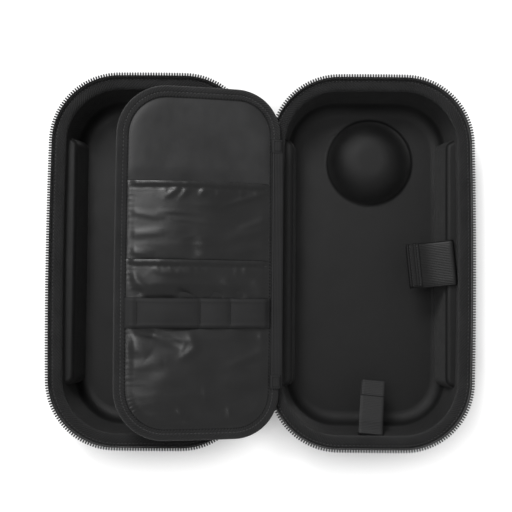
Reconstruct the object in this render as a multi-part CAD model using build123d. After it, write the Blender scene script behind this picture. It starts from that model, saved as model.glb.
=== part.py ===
from build123d import *
import math
import os

# Half shell: a moulded foam tray, wide across X, long along Y, back on the table at Z = 0
SHELL_WIDTH = 170.0
SHELL_LENGTH = 312.0
SHELL_DEPTH = 50.0
CORNER_RADIUS = 57.0
SIDE_BOW = 2.5
END_BOW = 1.2
WALL = 4.0
FLANGE_WIDTH = 10.0
FLANGE_THICKNESS = 3.0
WALL_DRAFT = 7.0
BACK_ROUND = 16.0

# Long moulded ledges on both long sides, with the matching recess outside
LEDGE_LENGTH = 209.0
LEDGE_SPLAY = 7.0
LEDGE_HEIGHT = 36.0
LEDGE_REACH = 24.0
LEDGE_DRAFT = 6.0
LEDGE_ROUND = 4.0
LEDGE_CORNER = 7.0

# Round boss on the base's floor
DOME_OFFSET_X = 3.0
DOME_OFFSET_Y = 90.0
DOME_FOOT_RADIUS = 37.5
DOME_TOP_RADIUS = 27.0
DOME_HEIGHT = 20.0
DOME_ROUND = 28.0
DOME_FOOT_ROUND = 3.5

# Binding sewn over each rim, and the zip that stands on the rim's outer edge
BINDING_THICKNESS = 1.2
BINDING_LIP = 3.0
BINDING_CHAMFER = 0.5
BINDING_ROUND = 1.8
RIM_ROUND = 3.0
TAPE_THICKNESS = 0.8
TAPE_HEIGHT = 5.8
TAPE_SET_IN = 0.2
COIL_WIDTH = 2.0
COIL_HEIGHT = 1.4
COIL_CHAMFER = 0.5
TAPE_START = 116.0
TAPE_START_HEIGHT = 2.0
TAPE_RAMP = 18.0

# Spine between the shells, as wide as both zip tapes together
SPINE_WIDTH = 15.0
SPINE_THICKNESS = 1.6
SPINE_PANEL_LENGTH = 192.0
ZIP_END_LENGTH = 20.0
CHAIN_WIDTH = 5.2
CHAIN_HEIGHT = 1.4
CHAIN_LENGTH = 10.0
CHAIN_STOP_LENGTH = 2.0

# Slider and its pull
SLIDER_LENGTH = 11.0
SLIDER_WIDTH = 9.0
SLIDER_PLATE = 0.9
SLIDER_NOSE_LENGTH = 3.0
SLIDER_NOSE_WIDTH = 2.4
BAIL_LENGTH = 7.0
BAIL_HEIGHT = 4.0
BAIL_WIDTH = 1.6
BAIL_THICKNESS = 1.1
PULL_LENGTH = 26.0
PULL_WIDTH = 8.0
PULL_THICKNESS = 1.4
PULL_BAR = 1.2
PULL_EYE_LENGTH = 4.6

# Divider flap, hinged beside the base's rim and lying over the lid at rest
FLAP_WIDTH = 137.0
FLAP_LENGTH = 288.0
FLAP_LOW = 2.0
FLAP_FREE_RADIUS = 42.0
FLAP_HINGE_RADIUS = 37.0
FLAP_BOW = 1.0
FLAP_LIFT = 13.0
FLAP_AXIS_IN = 11.0
FLAP_AXIS_UP = 7.0
FLAP_EDGE_GAP = 2.5
BOARD_THICKNESS = 1.6
FABRIC_THICKNESS = 0.6
FLAP_BINDING_WIDTH = 10.0
FLAP_BINDING_THICKNESS = 0.8
FLAP_BINDING_CHAMFER = 0.7

# Pockets and elastic band on the flap's front
POCKET_CLOTH = 0.7
UPPER_HEM = 65.0
UPPER_BOTTOM = -34.0
UPPER_PUFF = 2.4
LOWER_HEM = 1.5
LOWER_PUFF = 4.0
PRESSED_SEAM = 3.0
BAND_TOP = -28.7
BAND_WIDTH = 25.0
BAND_THICKNESS = 1.0
BAND_PUFF = 1.4
BAND_STITCHES = [45.0, 70.0, 121.0]

# Hinge tape of the flap
HINGE_TAPE_WIDTH = 9.4
HINGE_TAPE_LENGTH = 205.0
HINGE_TAPE_THICKNESS = 0.9
HINGE_FOOT_WIDTH = 7.0

# Tool strap on the outer wall of the base
STRAP_WIDTH = 38.0
STRAP_LENGTH = 38.0
STRAP_THICKNESS = 1.6
STRAP_SLOPE = 5.0
STRAP_SKEW = 6.0
STRAP_Y = 1.0
STRAP_DROP = 5.0
STRAP_END_LENGTH = 12.0
STRAP_END_THICKNESS = 1.4

# Webbing tab on the lower end wall of the base
TAB_WIDTH = 20.0
TAB_LENGTH = 46.0
TAB_THICKNESS = 1.6
TAB_KINK = 11.0
TAB_STEEP = 30.0
TAB_SLOPE = 13.0
TAB_SKEW = 6.0
TAB_DROP = 5.0
TAB_END_LENGTH = 15.0
TAB_END_THICKNESS = 1.4

# Pieces that sew a strap to its wall
TAB_ANCHOR_HEIGHT = 10.0
ANCHOR_THICKNESS = 1.6

# Clearances
SEAM_GAP = 0.3
SLIDER_GAP = 0.35
LIP_GAP = 0.5
EYE_GAP = 0.6
PAST = 5.0
FLAT = (-1, 0)
HEM_SLOPE = (-1, -0.02)

# Places that follow from the sizes above
RIM = SHELL_DEPTH
HALF_SPINE = SPINE_WIDTH / 2
BASE_CENTRE = HALF_SPINE + SHELL_WIDTH / 2
FLOOR = WALL
BINDING_TOP = RIM + BINDING_THICKNESS
FLAP_AXIS_X = HALF_SPINE + FLAP_AXIS_IN
FLAP_AXIS_Z = RIM + FLAP_AXIS_UP
FRONT_TOP = BOARD_THICKNESS / 2 + FABRIC_THICKNESS
FLAP_FACE = FRONT_TOP + FLAP_BINDING_THICKNESS
INNER_TOP = FLAP_LENGTH / 2 - FLAP_BINDING_WIDTH
PANEL_END = SPINE_PANEL_LENGTH / 2
CHAIN_END = PANEL_END + CHAIN_LENGTH
SLIDER_START = CHAIN_END - SLIDER_LENGTH + SLIDER_NOSE_LENGTH + SEAM_GAP
SLIDER_INNER = CHAIN_HEIGHT / 2 + SLIDER_GAP
SLIDER_TOP = SLIDER_INNER + SLIDER_PLATE
PULL_AXIS_Y = SLIDER_START + SLIDER_LENGTH / 2
PULL_AXIS_Z = RIM - SLIDER_TOP - PULL_BAR / 2 - EYE_GAP
LEDGE_TOP = FLOOR + LEDGE_HEIGHT
STRAP_ANCHOR_HEIGHT = RIM - STRAP_DROP - LEDGE_TOP - SEAM_GAP


def bowed_face(width, length, side_bow, end_bow, left_radius, right_radius):
    """Rounded rectangle whose four sides swell outward a little."""
    half_x, half_y = width / 2, length / 2
    corner_x, corner_y = half_x - side_bow, half_y - end_bow
    sides = [
        ThreePointArc((corner_x, -corner_y), (half_x, 0), (corner_x, corner_y)),
        ThreePointArc((corner_x, corner_y), (0, half_y), (-corner_x, corner_y)),
        ThreePointArc((-corner_x, corner_y), (-half_x, 0), (-corner_x, -corner_y)),
        ThreePointArc((-corner_x, -corner_y), (0, -half_y), (corner_x, -corner_y)),
    ]
    face = make_face(sides)
    face = fillet(face.vertices().sort_by(Axis.X)[2:], right_radius)
    return fillet(face.vertices().sort_by(Axis.X)[:2], left_radius)


def shell_outline(inset):
    """The rim's outline on the base's side, drawn in by inset."""
    radius = CORNER_RADIUS - inset
    face = bowed_face(SHELL_WIDTH - 2 * inset, SHELL_LENGTH - 2 * inset, SIDE_BOW, END_BOW, radius, radius)
    return Pos(BASE_CENTRE, 0, 0) * face


def shell_ring(outer_inset, inner_inset, low, high):
    """Upright ring that follows the rim between two insets."""
    outer = extrude(Pos(0, 0, low) * shell_outline(outer_inset), high - low)
    inner = extrude(Pos(0, 0, low - PAST) * shell_outline(inner_inset), high - low + 2 * PAST)
    return outer - inner


def tray(inset, low, round_radius):
    """Drafted tray form from the rim plane down to a rounded floor."""
    top = Pos(0, 0, RIM) * shell_outline(inset)
    body = extrude(top, amount=RIM - low, dir=(0, 0, -1), taper=WALL_DRAFT)
    return fillet(body.edges().group_by(Axis.Z)[0], round_radius)


def ledge(side, shrink, outward, low):
    """Drafted block along one long side, longer at the wall, shrunk by a wall for the recess behind it."""
    inner = SHELL_WIDTH / 2 - LEDGE_REACH + shrink
    outer = SHELL_WIDTH / 2 + outward
    half = LEDGE_LENGTH / 2 - shrink
    splay = LEDGE_SPLAY * (outer - inner) / (LEDGE_REACH - FLANGE_WIDTH)
    top = FLOOR + LEDGE_HEIGHT - shrink
    foot = Polygon((inner, -half), (outer, -half - splay), (outer, half + splay), (inner, half), align=None)
    block = extrude(foot, amount=top - low, taper=LEDGE_DRAFT)
    upright = block.edges().filter_by(GeomType.LINE).group_by(Axis.Z)[1]
    block = fillet(upright.sort_by(Axis.X)[:2], LEDGE_CORNER - shrink / 2)
    block = fillet(block.edges().group_by(Axis.Z)[-1], LEDGE_ROUND)
    placed = Pos(BASE_CENTRE, 0, low) * block
    return placed if side > 0 else mirror(placed, Plane.YZ.offset(BASE_CENTRE))


def dome(shrink):
    """Round boss with a sloping flank and a soft shoulder, or the dimple behind it."""
    foot, top = DOME_FOOT_RADIUS - shrink / 2, DOME_TOP_RADIUS - shrink / 2
    slope = (foot - top) / DOME_HEIGHT
    body = Cone(foot + slope * PAST, top, DOME_HEIGHT + PAST, align=(Align.CENTER, Align.CENTER, Align.MAX))
    body = fillet(body.edges().group_by(Axis.Z)[-1], DOME_ROUND)
    return Pos(BASE_CENTRE + DOME_OFFSET_X, DOME_OFFSET_Y, FLOOR + DOME_HEIGHT - shrink) * body


def is_dome_foot(edge):
    """Whether an edge is the circle where the boss meets the floor."""
    return abs(edge.radius - DOME_FOOT_RADIUS) < 1 and abs(edge.center().Z - FLOOR) < 1


def shell(with_dome):
    """Thin moulded tray with its rim flange, ledges and, on the base, the boss."""
    outside = tray(FLANGE_WIDTH - WALL, 0, BACK_ROUND)
    outside += extrude(Pos(0, 0, RIM - FLANGE_THICKNESS) * shell_outline(0), FLANGE_THICKNESS)
    inside = tray(FLANGE_WIDTH, FLOOR, BACK_ROUND - WALL)
    for side in (-1, 1):
        inside -= ledge(side, 0, 0, 0)
        outside -= ledge(side, WALL, PAST, -PAST)
    if with_dome:
        inside -= dome(0)
        foot = inside.edges().filter_by(GeomType.CIRCLE).filter_by(is_dome_foot)
        inside = fillet(foot, DOME_FOOT_ROUND)
        outside -= dome(WALL)
    body = outside - inside
    mouth = body.faces().sort_by(Axis.Z)[-1].inner_wires()[0].edges()
    return fillet(mouth, RIM_ROUND)


def rim_binding():
    """Band sewn over the flange, its inner edge turned down along the wall."""
    outer = TAPE_SET_IN + TAPE_THICKNESS + SEAM_GAP
    lip = FLANGE_WIDTH + LIP_GAP
    band = shell_ring(outer, lip + TAPE_THICKNESS, RIM, BINDING_TOP)
    turned = shell_ring(lip, lip + TAPE_THICKNESS, RIM - BINDING_LIP, RIM)
    binding = band + turned
    top = binding.faces().sort_by(Axis.Z)[-1]
    binding = fillet(top.inner_wires()[0].edges(), BINDING_ROUND)
    top = binding.faces().sort_by(Axis.Z)[-1]
    return chamfer(top.outer_wire().edges(), BINDING_CHAMFER)


def zip_end_cut():
    """What is taken from the zip along the hinge side, with a ramp at both ends."""
    ramp_end = TAPE_START + TAPE_RAMP
    low, high = RIM + TAPE_START_HEIGHT, RIM + TAPE_HEIGHT + COIL_HEIGHT
    gap = Polygon(
        (-TAPE_START, RIM - PAST), (TAPE_START, RIM - PAST), (TAPE_START, low), (ramp_end, high),
        (ramp_end, high + PAST), (-ramp_end, high + PAST), (-ramp_end, high), (-TAPE_START, low),
        align=None,
    )
    return extrude(Plane.YZ * gap, BASE_CENTRE)


def zip_tape():
    """Cloth tape that stands on the rim's outer edge."""
    ring = shell_ring(TAPE_SET_IN, TAPE_SET_IN + TAPE_THICKNESS, RIM, RIM + TAPE_HEIGHT)
    return ring - zip_end_cut()


def zip_coil():
    """Row of teeth along the tape's upper edge, as one rounded bead."""
    middle = TAPE_SET_IN + TAPE_THICKNESS / 2
    low = RIM + TAPE_HEIGHT
    ring = shell_ring(middle - COIL_WIDTH / 2, middle + COIL_WIDTH / 2, low, low + COIL_HEIGHT)
    ring = chamfer(ring.edges().group_by(Axis.Z)[-1], COIL_CHAMFER)
    return ring - zip_end_cut()


def spine_panel():
    """Flat cloth-covered strip that joins the two rims."""
    width = SPINE_WIDTH - 2 * SEAM_GAP
    panel = Pos(0, 0, RIM) * Box(width, SPINE_PANEL_LENGTH, SPINE_THICKNESS)
    return fillet(panel.edges().filter_by(Axis.Y), SPINE_THICKNESS / 4)


def zip_end(end):
    """Both tapes of the zip where they run in flat to the spine panel."""
    outer = HALF_SPINE - SEAM_GAP
    inner = CHAIN_WIDTH / 2
    middle = end * (PANEL_END + ZIP_END_LENGTH / 2)
    strips = [
        Pos(side * (outer + inner) / 2, middle, RIM) * Box(outer - inner, ZIP_END_LENGTH, TAPE_THICKNESS)
        for side in (-1, 1)
    ]
    seam = Pos(0, end * (PANEL_END + CHAIN_STOP_LENGTH / 2), RIM)
    return strips[0] + strips[1] + seam * Box(CHAIN_WIDTH, CHAIN_STOP_LENGTH, TAPE_THICKNESS)


def chain(end):
    """Closed teeth between the spine panel and the slider."""
    length = CHAIN_LENGTH - CHAIN_STOP_LENGTH
    bead = Box(CHAIN_WIDTH, length, CHAIN_HEIGHT)
    bead = fillet(bead.edges().filter_by(Axis.Y), CHAIN_HEIGHT / 4)
    return Pos(0, end * (PANEL_END + CHAIN_STOP_LENGTH + length / 2), RIM) * bead


def slider(end):
    """Two shield-shaped plates joined by a nose, with a bail on the outer side."""
    shield = RectangleRounded(SLIDER_WIDTH, SLIDER_LENGTH, SLIDER_WIDTH / 3)
    inner_plate = Pos(0, 0, SLIDER_INNER) * extrude(shield, SLIDER_PLATE)
    outer_plate = Pos(0, 0, -SLIDER_TOP) * extrude(shield, SLIDER_PLATE)
    nose_y = (SLIDER_LENGTH - SLIDER_NOSE_LENGTH) / 2
    nose = Pos(0, nose_y, 0) * Box(SLIDER_NOSE_WIDTH, SLIDER_NOSE_LENGTH, 2 * SLIDER_TOP)
    arch = Rectangle(BAIL_LENGTH, 2 * BAIL_HEIGHT)
    arch = fillet(arch.vertices(), BAIL_HEIGHT / 2)
    window = Rectangle(BAIL_LENGTH - 2 * BAIL_THICKNESS, 2 * (BAIL_HEIGHT - BAIL_THICKNESS))
    window = fillet(window.vertices(), BAIL_HEIGHT / 4)
    bail = extrude(Plane.YZ * (arch - window), BAIL_WIDTH / 2, both=True)
    bail -= Pos(0, 0, BAIL_HEIGHT / 2) * Box(BAIL_WIDTH * 2, BAIL_LENGTH * 2, BAIL_HEIGHT)
    body = inner_plate + outer_plate + nose + Pos(0, 0, -SLIDER_TOP) * bail
    placed = Pos(0, SLIDER_START + SLIDER_LENGTH / 2, RIM) * body
    return placed if end > 0 else mirror(placed, Plane.XZ)


def pull(end):
    """Flat pull with a slotted eye round the slider's bail, hanging down."""
    eye_width = BAIL_WIDTH + 2 * EYE_GAP
    plate = RectangleRounded(PULL_WIDTH, PULL_LENGTH, PULL_WIDTH / 4)
    plate = Pos(0, PULL_BAR / 2 - PULL_LENGTH / 2) * plate
    eye = Pos(0, -(PULL_BAR + PULL_EYE_LENGTH) / 2) * Rectangle(eye_width, PULL_EYE_LENGTH)
    body = extrude(Plane.XZ * (plate - eye), PULL_THICKNESS / 2, both=True)
    placed = Pos(0, PULL_AXIS_Y, PULL_AXIS_Z) * body
    return placed if end > 0 else mirror(placed, Plane.XZ)


def place_flap(piece):
    """From the flap's own frame, with the hinge on the Y axis, to its raised place."""
    return Pos(FLAP_AXIS_X, -FLAP_LOW, FLAP_AXIS_Z) * Rot(0, FLAP_LIFT, 0) * piece


def flap_outline(inset):
    """Outline of the flap, drawn in by inset, hinge side towards plus X."""
    face = bowed_face(
        FLAP_WIDTH - 2 * inset, FLAP_LENGTH - 2 * inset, FLAP_BOW, FLAP_BOW,
        FLAP_FREE_RADIUS - inset, FLAP_HINGE_RADIUS - inset,
    )
    return Pos(-FLAP_EDGE_GAP - FLAP_WIDTH / 2, 0) * face


def flap_layer(inset, low, high):
    """Flat layer of the flap between two heights."""
    return extrude(Pos(0, 0, low) * flap_outline(inset), high - low)


def flap_binding():
    """Edge band folded round the flap's board and both cloths."""
    body = flap_layer(0, -FLAP_FACE, FLAP_FACE)
    edges = body.edges().group_by(Axis.Z)
    body = chamfer(edges[0] + edges[-1], FLAP_BINDING_CHAMFER)
    body -= flap_layer(FLAP_BINDING_THICKNESS, -FRONT_TOP, FRONT_TOP)
    return body - flap_layer(FLAP_BINDING_WIDTH, -PAST, PAST)


def cloth_line(runs, drop):
    """Curved runs of a cloth along Y, joined by straight pressed stretches, at one face of it."""
    edges = []
    for points, tangents in runs:
        placed = [(y, FRONT_TOP + z - drop) for y, z in points]
        if edges:
            edges.append(Line(edges[-1] @ 1, placed[0]))
        edges.append(Spline(*placed, tangents=tangents))
    return edges


def cloth_sheet(runs, last):
    """Sheet across the flap: curved runs, then a pressed stretch to its last point along Y."""
    upper, lower = cloth_line(runs, 0), cloth_line(runs, POCKET_CLOTH)
    for edges in (upper, lower):
        end = edges[-1] @ 1
        edges.append(Line(end, (last, end.Y)))
    outline = make_face(
        upper + lower + [Line(upper[0] @ 0, lower[0] @ 0), Line(upper[-1] @ 1, lower[-1] @ 1)]
    )
    across = FLAP_WIDTH + FLAP_EDGE_GAP
    sheet = Pos(-across, 0, 0) * extrude(Plane.YZ * outline, across)
    return sheet & flap_layer(FLAP_BINDING_WIDTH + SEAM_GAP, -PAST, 3 * PAST)


def pocket_upper():
    """Upper pocket: open at its hem, pressed flat under the lower pocket."""
    pressed = LOWER_HEM + (UPPER_HEM - LOWER_HEM) / 4
    points = [(UPPER_HEM, UPPER_PUFF), ((UPPER_HEM + pressed) / 2, UPPER_PUFF * 0.8), (pressed, POCKET_CLOTH)]
    return cloth_sheet([(points, [HEM_SLOPE, FLAT])], UPPER_BOTTOM)


def pocket_lower():
    """Lower pocket: puffed at its hem and below the band, pressed flat under the band."""
    band_low = BAND_TOP - BAND_WIDTH - SEAM_GAP
    seam = -INNER_TOP + PRESSED_SEAM
    pressed = 2 * POCKET_CLOTH + SEAM_GAP
    hem_run = [
        (LOWER_HEM, UPPER_PUFF + POCKET_CLOTH),
        ((LOWER_HEM + BAND_TOP) / 2, (UPPER_PUFF + POCKET_CLOTH + pressed) / 2),
        (BAND_TOP + SEAM_GAP, pressed),
    ]
    belly_run = [
        (band_low, pressed),
        (0.6 * band_low + 0.4 * seam, LOWER_PUFF),
        (0.2 * band_low + 0.8 * seam, LOWER_PUFF * 0.5),
        (seam, POCKET_CLOTH),
    ]
    return cloth_sheet([(hem_run, [HEM_SLOPE, FLAT]), (belly_run, [FLAT, FLAT])], -INNER_TOP + SEAM_GAP)


def elastic_band():
    """Elastic sewn down at the stitch lines, arched into a loop between each pair."""
    level = FRONT_TOP + 2 * POCKET_CLOTH + 2 * SEAM_GAP
    first = FLAP_EDGE_GAP + FLAP_BINDING_WIDTH + SEAM_GAP
    last = FLAP_EDGE_GAP + FLAP_WIDTH - FLAP_BINDING_WIDTH - SEAM_GAP
    stops = [first] + BAND_STITCHES + [last]
    band = None
    for start, stop in zip(stops, stops[1:]):
        middle = -(start + stop) / 2
        rise = BAND_PUFF * min(1.0, (stop - start) / BAND_WIDTH)
        under = ThreePointArc((-start, level), (middle, level + rise), (-stop, level))
        over = ThreePointArc(
            (-stop, level + BAND_THICKNESS), (middle, level + rise + BAND_THICKNESS),
            (-start, level + BAND_THICKNESS),
        )
        ends = [Line(under @ 1, over @ 0), Line(over @ 1, under @ 0)]
        loop = extrude(Plane.XZ * make_face([under, over] + ends), BAND_WIDTH)
        band = loop if band is None else band + loop
    return Pos(0, BAND_TOP, 0) * band


def flap_hinge_tape():
    """Webbing sewn along the flap's hinge edge and turned down towards the hinge line."""
    top, low = FLAP_FACE + SEAM_GAP + HINGE_TAPE_THICKNESS, FLAP_FACE + SEAM_GAP
    near = -HINGE_TAPE_THICKNESS / 2 - SEAM_GAP
    far = near - HINGE_TAPE_WIDTH
    section = Polygon(
        (near, 0), (near, top), (far, top), (far, low), (near - HINGE_TAPE_THICKNESS, low),
        (near - HINGE_TAPE_THICKNESS, 0), align=None,
    )
    section = fillet(section.vertices().group_by(Axis.Y)[-1].sort_by(Axis.X)[-1], HINGE_TAPE_THICKNESS)
    return extrude(Plane.XZ * section, HINGE_TAPE_LENGTH / 2, both=True)


def hinge_strip():
    """The same webbing on the base's side: a foot on the rim binding and an upright."""
    right = FLAP_AXIS_X + HINGE_TAPE_THICKNESS / 2
    left = right - HINGE_FOOT_WIDTH
    upright = FLAP_AXIS_Z - SEAM_GAP / 2
    foot_top = BINDING_TOP + HINGE_TAPE_THICKNESS
    inner = right - HINGE_TAPE_THICKNESS
    section = Polygon(
        (left, BINDING_TOP), (right, BINDING_TOP), (right, upright), (inner, upright),
        (inner, foot_top), (left, foot_top), align=None,
    )
    strip = extrude(Plane.XZ * section, HINGE_TAPE_LENGTH / 2, both=True)
    return Pos(0, -FLAP_LOW, 0) * strip


def wall_inset(drop):
    """How far the tray's inner wall stands in from the outline at a depth below the rim."""
    return FLANGE_WIDTH + drop * math.tan(math.radians(WALL_DRAFT))


def anchor(place, width, drop, height):
    """Sewn end of a strap: a pad against the wall, cut to the wall's own form."""
    reach = wall_inset(drop) + ANCHOR_THICKNESS
    depth = 2 * reach
    pad = Box(depth, width, height, align=(Align.MIN, Align.CENTER, Align.MAX))
    block = place * Pos(0, 0, ANCHOR_THICKNESS) * pad
    return block & tray(FLANGE_WIDTH, FLOOR, BACK_ROUND - WALL)


def skew_reach(width, skew):
    """How much nearer the wall one corner of a skewed strap comes than its middle."""
    return width / 2 * math.sin(math.radians(skew))


def strap_root():
    """Where the tool strap leaves its anchor, with minus X along the strap."""
    inset = wall_inset(STRAP_DROP) + ANCHOR_THICKNESS + skew_reach(STRAP_WIDTH, STRAP_SKEW)
    x = BASE_CENTRE + SHELL_WIDTH / 2 - inset
    return Pos(x, STRAP_Y, RIM - STRAP_DROP) * Rot(0, 0, STRAP_SKEW)


def tab_root():
    """Where the tab leaves its anchor, with minus X along the tab."""
    inset = wall_inset(TAB_DROP) + ANCHOR_THICKNESS + skew_reach(TAB_WIDTH, TAB_SKEW)
    return Pos(BASE_CENTRE, -SHELL_LENGTH / 2 + inset, RIM - TAB_DROP) * Rot(0, 0, -90 - TAB_SKEW)


def strap_line(length, slope, kink, steep):
    """Centre line of a strap in its own frame: a steep start, then a gentler run."""
    knee = (-kink, -kink * math.tan(math.radians(steep)))
    run = length - kink
    tip = (knee[0] - run, knee[1] - run * math.tan(math.radians(slope)))
    return knee, tip


def strap(width, length, thickness, slope, kink, steep):
    """Webbing of one thickness along its line, cut square at both ends."""
    knee, tip = strap_line(length, slope, kink, steep)
    start = (-SEAM_GAP, 0)
    below = [(x, z - thickness) for x, z in (start, knee, tip)]
    section = Polygon(start, knee, tip, *reversed(below), align=None)
    return extrude(Plane.XZ * section, width / 2, both=True)


def strap_end(width, length, thickness, slope, kink, steep, end_length, end_thickness):
    """Folded and sewn end that lies on the last stretch of a strap."""
    tip = strap_line(length, slope, kink, steep)[1]
    pad = Box(end_length, width, end_thickness, align=(Align.MIN, Align.CENTER, Align.MIN))
    pad = fillet(pad.edges().filter_by(Axis.Y).group_by(Axis.Z)[-1], end_thickness / 3)
    return Pos(tip[0], 0, tip[1]) * Rot(0, -slope, 0) * pad


def lid_side(piece):
    """The same piece on the lid, mirrored across the spine."""
    return mirror(piece, Plane.YZ)


STRAP_SIZES = (STRAP_WIDTH, STRAP_LENGTH, STRAP_THICKNESS, STRAP_SLOPE, STRAP_LENGTH / 4, STRAP_SLOPE / 2)
TAB_SIZES = (TAB_WIDTH, TAB_LENGTH, TAB_THICKNESS, TAB_SLOPE, TAB_KINK, TAB_STEEP)

parts = {
    "base_shell": shell(True),
    "base_binding": rim_binding(),
    "base_zip_tape": zip_tape(),
    "base_zip_coil": zip_coil(),
    "lid_shell": lid_side(shell(False)),
    "lid_binding": lid_side(rim_binding()),
    "lid_zip_tape": lid_side(zip_tape()),
    "lid_zip_coil": lid_side(zip_coil()),
    "spine_panel": spine_panel(),
    "flap_board": place_flap(flap_layer(FLAP_BINDING_THICKNESS, -BOARD_THICKNESS / 2, BOARD_THICKNESS / 2)),
    "flap_front": place_flap(flap_layer(FLAP_BINDING_THICKNESS, BOARD_THICKNESS / 2, FRONT_TOP)),
    "flap_back": place_flap(flap_layer(FLAP_BINDING_THICKNESS, -FRONT_TOP, -BOARD_THICKNESS / 2)),
    "flap_binding": place_flap(flap_binding()),
    "pocket_upper": place_flap(pocket_upper()),
    "pocket_lower": place_flap(pocket_lower()),
    "elastic_band": place_flap(elastic_band()),
    "flap_hinge_tape": place_flap(flap_hinge_tape()),
    "hinge_strip": hinge_strip(),
    "tool_strap_anchor": anchor(strap_root(), STRAP_WIDTH, STRAP_DROP, STRAP_ANCHOR_HEIGHT),
    "tool_strap": strap_root() * strap(*STRAP_SIZES),
    "tool_strap_end": strap_root() * strap_end(*STRAP_SIZES, STRAP_END_LENGTH, STRAP_END_THICKNESS),
    "tab_anchor": anchor(tab_root(), TAB_WIDTH, TAB_DROP, TAB_ANCHOR_HEIGHT),
    "tab_strap": tab_root() * strap(*TAB_SIZES),
    "tab_end": tab_root() * strap_end(*TAB_SIZES, TAB_END_LENGTH, TAB_END_THICKNESS),
}
for name, end in (("upper", 1), ("lower", -1)):
    parts["zip_end_" + name] = zip_end(end)
    parts["zip_chain_" + name] = chain(end)
    parts["slider_" + name] = slider(end)
    parts["pull_" + name] = pull(end)

os.makedirs("parts", exist_ok=True)
for name, piece in parts.items():
    export_step(piece, "parts/" + name + ".step")
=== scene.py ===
"""Soft pieces, materials, light and camera of the open zip case. Sizes are in millimetres."""
import math

import bpy
import numpy as np
from mathutils import Matrix, Vector, noise


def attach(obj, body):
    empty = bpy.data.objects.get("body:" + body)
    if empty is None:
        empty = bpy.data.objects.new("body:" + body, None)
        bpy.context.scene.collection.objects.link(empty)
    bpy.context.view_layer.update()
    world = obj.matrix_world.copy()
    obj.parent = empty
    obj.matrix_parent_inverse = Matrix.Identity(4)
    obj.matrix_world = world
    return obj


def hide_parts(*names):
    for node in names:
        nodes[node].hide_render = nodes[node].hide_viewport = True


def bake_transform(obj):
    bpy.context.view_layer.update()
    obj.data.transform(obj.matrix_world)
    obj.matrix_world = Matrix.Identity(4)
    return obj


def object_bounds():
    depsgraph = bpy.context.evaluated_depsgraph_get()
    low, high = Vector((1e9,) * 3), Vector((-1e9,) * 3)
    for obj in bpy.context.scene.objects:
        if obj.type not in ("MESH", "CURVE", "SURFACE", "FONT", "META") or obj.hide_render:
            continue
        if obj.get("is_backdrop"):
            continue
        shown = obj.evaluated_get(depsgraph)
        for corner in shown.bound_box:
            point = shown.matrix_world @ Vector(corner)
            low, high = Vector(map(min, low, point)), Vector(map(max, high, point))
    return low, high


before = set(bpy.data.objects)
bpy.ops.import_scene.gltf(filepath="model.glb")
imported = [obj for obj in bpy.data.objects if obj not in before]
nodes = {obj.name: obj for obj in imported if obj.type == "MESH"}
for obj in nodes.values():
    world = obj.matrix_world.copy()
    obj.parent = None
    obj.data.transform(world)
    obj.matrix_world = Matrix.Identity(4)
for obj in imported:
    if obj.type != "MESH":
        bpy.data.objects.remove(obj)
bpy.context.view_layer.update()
MM = 0.001

# Sizes repeated from the CAD model
SHELL_WIDTH, SHELL_LENGTH, RIM = 170.0, 312.0, 50.0
SHELL_CORNER, SIDE_BOW, END_BOW = 57.0, 2.5, 1.2
HALF_SPINE = 7.5
BASE_CENTRE = HALF_SPINE + SHELL_WIDTH / 2
WALL_DRAFT = math.radians(7.0)
FLANGE_WIDTH = 10.0
TAPE_HEIGHT, COIL_HEIGHT = 5.8, 1.4
TAPE_START, TAPE_START_HEIGHT, TAPE_RAMP = 116.0, 2.0, 18.0
PANEL_END, ZIP_END_LENGTH = 96.0, 20.0
FLAP_WIDTH, FLAP_LENGTH, FLAP_LOW = 137.0, 288.0, 2.0
FLAP_FREE_RADIUS, FLAP_HINGE_RADIUS, FLAP_BOW = 42.0, 37.0, 1.0
FLAP_AXIS, FLAP_LIFT, FLAP_EDGE_GAP = (18.5, -FLAP_LOW, 57.0), math.radians(13.0), 2.5
FRONT_TOP, FLAP_BINDING = 1.4, 10.0
UPPER_HEM, UPPER_BOTTOM, LOWER_HEM, LOWER_BOTTOM = 65.0, -34.0, 1.5, -133.0
BAND_TOP, BAND_WIDTH, BAND_THICKNESS, BAND_STITCHES = -28.7, 25.0, 1.0, (45.0, 70.0, 121.0)
HINGE_TAPE_LENGTH, HINGE_TAPE_THICKNESS = 205.0, 0.9

# Sewing and zip repeats
STITCH_PITCH, STITCH_LENGTH, THREAD_HALF, THREAD_SQUASH = 3.2, 2.0, 0.42, 0.8
TOOTH_PITCH, TOOTH_WIDTH, TOOTH_INSET, TOOTH_REACH = 2.2, 1.5, -0.30, 1.70


# Meshes
def new_object(name, verts, faces, uvs=None, smooth=True):
    """Object from points and from one UV pair per face corner, all in millimetres."""
    mesh = bpy.data.meshes.new(name)
    mesh.from_pydata([tuple(np.asarray(v, float) * MM) for v in verts], [], faces)
    if uvs is not None:
        layer = mesh.uv_layers.new(name="UVMap")
        layer.data.foreach_set("uv", np.asarray(uvs, float).ravel() * MM)
    mesh.shade_smooth() if smooth else mesh.shade_flat()
    mesh.validate()
    thing = bpy.data.objects.new(name, mesh)
    bpy.context.scene.collection.objects.link(thing)
    return thing


def grid_parts(points, uv, closed=False, keep=None):
    """Vertices, quads and corner UVs of a grid of points; closed joins its last row to its first."""
    rows, columns = points.shape[:2]
    faces, corners = [], []
    for i in range(rows if closed else rows - 1):
        j = (i + 1) % rows
        for k in range(columns - 1):
            if keep is not None and not keep[i, k]:
                continue
            faces.append((i * columns + k, j * columns + k, j * columns + k + 1, i * columns + k + 1))
            for row, column in ((i, k), (i + 1, k), (i + 1, k + 1), (i, k + 1)):
                corners.append(uv[row, column])
    return points.reshape(-1, 3), faces, corners


def mirrored(points):
    """The same points on the lid's side of the spine."""
    other = np.array(points, float)
    other[..., 0] *= -1
    return other


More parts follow.
